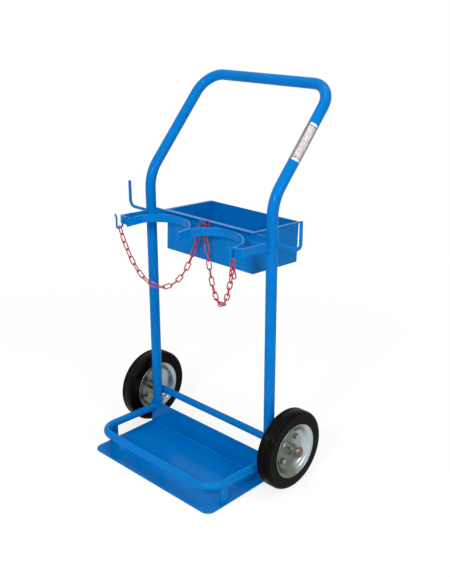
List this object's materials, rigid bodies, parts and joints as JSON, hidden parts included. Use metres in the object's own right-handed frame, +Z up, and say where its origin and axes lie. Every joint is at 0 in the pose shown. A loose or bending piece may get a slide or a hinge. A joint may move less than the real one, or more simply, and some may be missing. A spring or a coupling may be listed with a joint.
{
  "type": "gas cylinder trolley",
  "caption": "Two-wheeled hand cart for a pair of gas cylinders: bent tube frame, folded base plate with guard rail, strip cradles, hanging safety chains, hose hooks and a rear tool tray.",
  "frame": {"origin": "middle of the base plate's flat underside", "axes": "+X to the cart's left hand seen from its front, towards the wheel named right; -Y to the front, where the cylinders stand; +Z up, square to the base plate"},
  "size_m": [0.588, 0.4469, 0.9719],
  "materials": {
    "frame_paint": "semi-gloss blue powder coat on welded steel",
    "axle_paint": "blue powder coat, worn bare at the outer ends",
    "chain_paint": "glossy red dipped coat on welded steel chain",
    "wheel_zinc": "bright zinc plated pressed steel",
    "fastener_zinc": "bright zinc plated turned steel",
    "hard_steel": "ground hardened steel",
    "cap_steel": "brown-grey phosphated spring steel, lightly oiled",
    "cage_brass": "oiled sheet brass",
    "tyre_rubber": "matt black solid rubber"
  },
  "bodies": {
    "frame": {"main_tube": "frame_paint", "base_plate": "frame_paint", "guard_rail": "frame_paint", "guard_post_left": "frame_paint", "guard_post_right": "frame_paint", "axle": "axle_paint", "side_arm_left": "frame_paint", "side_arm_right": "frame_paint", "cradle_left": "frame_paint", "cradle_right": "frame_paint", "tool_tray": "frame_paint", "tray_bracket_left": "frame_paint", "tray_bracket_right": "frame_paint", "hose_hook_left": "frame_paint", "hose_hook_right": "frame_paint", "chain_hook_left": "frame_paint", "chain_hook_right": "frame_paint", "chain_anchor": "frame_paint", "chain_middle_link": "chain_paint", "inner_washer_left": "fastener_zinc", "inner_washer_right": "fastener_zinc", "outer_washer_left": "fastener_zinc", "outer_washer_right": "fastener_zinc", "axle_cap_left": "cap_steel", "axle_cap_right": "cap_steel"},
    "wheel_left": {"tyre_left": "tyre_rubber", "disc_outer_left": "wheel_zinc", "disc_inner_left": "wheel_zinc", "hub_left": "wheel_zinc", "disc_bolts_left": "fastener_zinc", "disc_nuts_left": "fastener_zinc"},
    "wheel_right": {"tyre_right": "tyre_rubber", "disc_outer_right": "wheel_zinc", "disc_inner_right": "wheel_zinc", "hub_right": "wheel_zinc", "disc_bolts_right": "fastener_zinc", "disc_nuts_right": "fastener_zinc"},
    "cage_left": {"roller_cage_left": "cage_brass", "rollers_left": "hard_steel"},
    "cage_right": {"roller_cage_right": "cage_brass", "rollers_right": "hard_steel"},
    "chain_left_body": {"chain_left": "chain_paint"},
    "chain_right_body": {"chain_right": "chain_paint"}
  },
  "joints": [
    {"name": "wheel_left_spin", "type": "hinge", "parent": "frame", "child": "wheel_left", "pos_m": [-0.253, 0.1416, 0.09], "axis": [1, 0, 0], "continuous": true},
    {"name": "cage_left_spin", "type": "hinge", "parent": "frame", "child": "cage_left", "pos_m": [-0.253, 0.1416, 0.09], "axis": [1, 0, 0], "continuous": true},
    {"name": "wheel_right_spin", "type": "hinge", "parent": "frame", "child": "wheel_right", "pos_m": [0.253, 0.1416, 0.09], "axis": [1, 0, 0], "continuous": true},
    {"name": "cage_right_spin", "type": "hinge", "parent": "frame", "child": "cage_right", "pos_m": [0.253, 0.1416, 0.09], "axis": [1, 0, 0], "continuous": true},
    {"name": "chain_left_swing", "type": "hinge", "parent": "frame", "child": "chain_left_body", "pos_m": [-0.19606, 0.00236, 0.60087], "axis": [-0.8816, -0.4675, -0.0653], "range_deg": [-12, 20]},
    {"name": "chain_right_swing", "type": "hinge", "parent": "frame", "child": "chain_right_body", "pos_m": [0.19617, 0.00231, 0.60084], "axis": [-0.8815, 0.4675, 0.0655], "range_deg": [-12, 20]}
  ],
  "couplings": [
    {"joint": "cage_left_spin", "follows": "wheel_left_spin", "ratio": 0.58874},
    {"joint": "cage_right_spin", "follows": "wheel_right_spin", "ratio": 0.58874}
  ]
}
